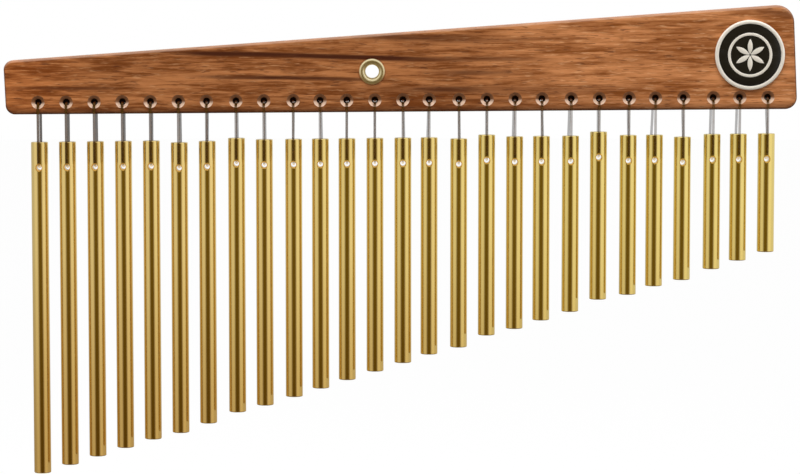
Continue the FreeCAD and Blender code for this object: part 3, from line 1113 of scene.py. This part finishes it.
# The wall's tones. A pair says where one tone starts to give way to the next and where it has gone, in degrees
# from straight behind the camera, or in millimetres of height.
LEFT_TO_RIGHT = (-10.0, 10.0)
DARK_MIDDLE = (15.0, 46.0)
DIM_SIDES = (62.0, 92.0)
LOW_WALL = (-650.0, -220.0)
WALL_FOOT = (-1195.0, -1180.0)
WALL_HEAD = (1180.0, 1195.0)
STUDIO_LEFT = (0.84, 0.84, 0.84)
STUDIO_RIGHT = (0.98, 0.98, 0.98)
STUDIO_LEFT_SIDE = (0.62, 0.62, 0.62)
STUDIO_RIGHT_SIDE = (0.80, 0.80, 0.80)
STUDIO_DARK = (0.165, 0.112, 0.014)
STUDIO_LOW = (0.62, 0.50, 0.36)
STUDIO_FLOOR = (0.20, 0.16, 0.10)
STUDIO_CEILING = (1.0, 1.0, 1.0)


class CHIMES_OT_stage(bpy.types.Operator):
    """Set up the camera, the pale floor, the soft lights and the studio round the chimes"""

    bl_idname = "chimes.stage"
    bl_label = "Stage"

    def execute(self, context):
        stage = context.scene.chimes_stage
        self.add_camera(stage)
        self.add_world(stage)
        self.add_floor(stage)
        self.add_studio_wall()
        for light in LIGHTS:
            self.add_light(*light)
        context.scene.view_settings.view_transform = "Standard"
        return {"FINISHED"}

    def add_camera(self, stage):
        camera = bpy.data.objects.new("camera", bpy.data.cameras.new("camera"))
        camera.data.sensor_width = SENSOR_WIDTH
        camera.data.lens = stage.lens
        camera.data.clip_start = NEAR_CLIP
        camera.location = stage.camera_place
        camera.rotation_euler = (math.pi / 2 - stage.camera_pitch, 0, 0)
        bpy.context.scene.collection.objects.link(camera)
        bpy.context.scene.camera = camera

    def add_world(self, stage):
        """White behind everything that shows, and a plain level of light on matt surfaces."""
        world = bpy.data.worlds.new("studio")
        bpy.context.scene.world = world
        world.use_nodes = True
        nodes = Nodes(world.node_tree)
        path = nodes.add("ShaderNodeLightPath").outputs
        seen = nodes.maths("MAXIMUM", path["Is Camera Ray"], path["Is Glossy Ray"])
        seen = nodes.maths("MAXIMUM", seen, path["Is Transmission Ray"])
        dim = nodes.add("ShaderNodeBackground", {}, {"Color": WHITE, "Strength": stage.ambient})
        white = nodes.add("ShaderNodeBackground", {}, {"Color": WHITE, "Strength": 1.0})
        mixed = nodes.add("ShaderNodeMixShader", {}, {0: seen, 1: dim.outputs[0], 2: white.outputs[0]})
        nodes.add("ShaderNodeOutputWorld", {}, {"Surface": mixed.outputs[0]})

    def add_floor(self, stage):
        """A grey floor that looks white to the camera and that the metal doesn't mirror."""
        paint = Paint("pale_floor")
        matt = paint.add("ShaderNodeBsdfDiffuse", {}, {"Color": FLOOR_GREY})
        glow = paint.add("ShaderNodeEmission", {}, {"Color": WHITE, "Strength": FLOOR_GLOW})
        shown = Number(paint, paint.add("ShaderNodeLightPath").outputs["Is Camera Ray"]) * FLOOR_SHOWN
        mixed = paint.add("ShaderNodeMixShader", {}, {0: shown, 1: matt.outputs[0], 2: glow.outputs[0]})
        bm = bmesh.new()
        bmesh.ops.create_circle(
            bm,
            cap_ends=True,
            segments=FLOOR_STEPS,
            radius=FLOOR_RADIUS,
            matrix=Matrix.Translation((0, 0, stage.floor)),
        )
        floor = self.add_stage_piece("floor", bm, paint.show(mixed))
        floor.visible_glossy = False

    def add_studio_wall(self):
        """What the metal mirrors: a closed round studio, dark behind the camera, with brighter sides."""
        paint = Paint("studio_wall")
        bearing = paint.maths("ARCTAN2", paint.x, -paint.y) * math.degrees(1.0)
        off = bearing.size()
        right = bearing.step(*LEFT_TO_RIGHT)
        tone = paint.mix(right, STUDIO_LEFT, STUDIO_RIGHT)
        sides = paint.mix(right, STUDIO_LEFT_SIDE, STUDIO_RIGHT_SIDE)
        tone = paint.mix(off.step(*DIM_SIDES), tone, sides)
        tone = paint.stain(tone, STUDIO_DARK, 1.0 - off.step(*DARK_MIDDLE))
        tone = paint.stain(tone, STUDIO_LOW, 1.0 - paint.z.step(*LOW_WALL), blend="MULTIPLY")
        tone = paint.stain(tone, STUDIO_FLOOR, 1.0 - paint.z.step(*WALL_FOOT))
        tone = paint.stain(tone, STUDIO_CEILING, paint.z.step(*WALL_HEAD))
        glow = paint.add("ShaderNodeEmission", {}, {"Color": tone, "Strength": 1.0})
        bm = bmesh.new()
        bmesh.ops.create_cone(
            bm,
            cap_ends=True,
            segments=WALL_STEPS,
            radius1=WALL_RADIUS,
            radius2=WALL_RADIUS,
            depth=WALL_HEIGHT,
        )
        wall = self.add_stage_piece("studio_wall", bm, paint.show(glow))
        wall.visible_camera = False
        wall.visible_diffuse = False
        wall.visible_transmission = False
        wall.visible_shadow = False
        wall.visible_volume_scatter = False

    def add_stage_piece(self, name, bm, paint):
        """A piece of the studio, which isn't part of the chimes."""
        mesh = mesh_from(bm, name)
        mesh.materials.append(paint)
        piece = bpy.data.objects.new(name, mesh)
        bpy.context.scene.collection.objects.link(piece)
        return piece

    def add_light(self, name, place, target, size, power):
        """A soft rectangular light that shows neither itself nor its mirror image."""
        lamp = bpy.data.lights.new(name, "AREA")
        lamp.shape = "RECTANGLE"
        lamp.size, lamp.size_y = size
        lamp.energy = power
        light = bpy.data.objects.new(name, lamp)
        light.location = place
        light.rotation_euler = (Vector(target) - Vector(place)).to_track_quat("-Z", "Y").to_euler()
        light.visible_camera = False
        light.visible_glossy = False
        bpy.context.scene.collection.objects.link(light)


# ---- the add-on, as Blender lists it ---------------------------------
class CHIMES_PT_panel(bpy.types.Panel):
    """Lists what builds the chimes"""

    bl_label = "Bar Chimes"
    bl_idname = "CHIMES_PT_panel"
    bl_space_type = "VIEW_3D"
    bl_region_type = "UI"
    bl_category = "Chimes"

    def draw(self, context):
        for operator, settings in PARTS:
            self.layout.operator(operator.bl_idname)
            group = getattr(context.scene, settings)
            for name in group.bl_rna.properties.keys():
                if name not in ("rna_type", "name"):
                    self.layout.prop(group, name)


SETTINGS = {
    "chimes_board": BoardSettings,
    "chimes_bars": BarSettings,
    "chimes_cords": CordSettings,
    "chimes_eyelet": EyeletSettings,
    "chimes_badge": BadgeSettings,
    "chimes_stage": StageSettings,
}
PARTS = (
    (CHIMES_OT_board, "chimes_board"),
    (CHIMES_OT_bars, "chimes_bars"),
    (CHIMES_OT_cords, "chimes_cords"),
    (CHIMES_OT_eyelet, "chimes_eyelet"),
    (CHIMES_OT_badge, "chimes_badge"),
    (CHIMES_OT_stage, "chimes_stage"),
)
CLASSES = (*SETTINGS.values(), *(operator for operator, _ in PARTS), CHIMES_PT_panel)


def register():
    for cls in CLASSES:
        bpy.utils.register_class(cls)
    for name, group in SETTINGS.items():
        setattr(bpy.types.Scene, name, PointerProperty(type=group))


def unregister():
    for name in SETTINGS:
        delattr(bpy.types.Scene, name)
    for cls in reversed(CLASSES):
        bpy.utils.unregister_class(cls)


def main():
    register()
    for operator, _ in PARTS:
        group, name = operator.bl_idname.split(".")
        getattr(getattr(bpy.ops, group), name)()


if __name__ == "__main__":
    main()
